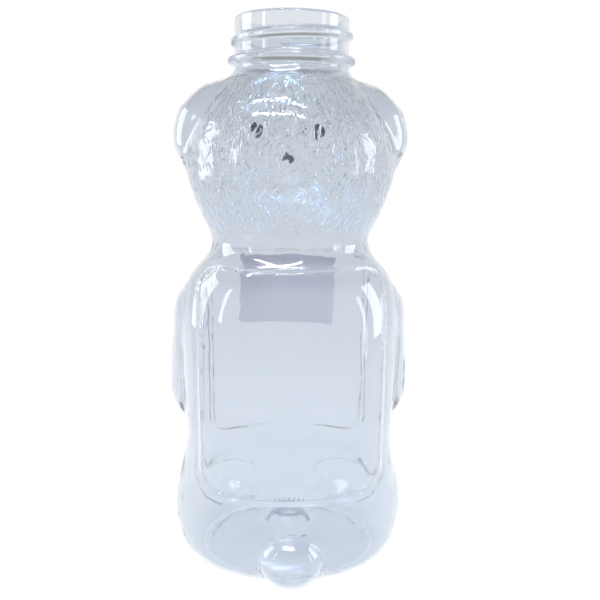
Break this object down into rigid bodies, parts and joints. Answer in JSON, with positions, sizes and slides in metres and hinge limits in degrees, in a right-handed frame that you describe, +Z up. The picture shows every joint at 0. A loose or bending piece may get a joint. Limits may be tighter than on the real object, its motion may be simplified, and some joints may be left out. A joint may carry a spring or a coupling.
{
  "type": "honey bear bottle",
  "caption": "Clear squeeze bottle moulded as a seated bear, with a screw neck, recessed label panels, a painted face and a blank paper label.",
  "frame": {"origin": "on the floor, under the middle of the bottle", "axes": "+Z up out of the neck, the bear faces -Y, +X to the bear's left"},
  "size_m": [0.0808, 0.0772, 0.1732],
  "materials": {
    "clear_pet": "clear, glossy",
    "face_paint": "satin dark paint",
    "label_paper": "uncoated lavender paper"
  },
  "bodies": {
    "root": {"bottle": "clear_pet", "left_eye": "face_paint", "right_eye": "face_paint", "nose": "face_paint", "paper_label": "label_paper"}
  },
  "joints": []
}
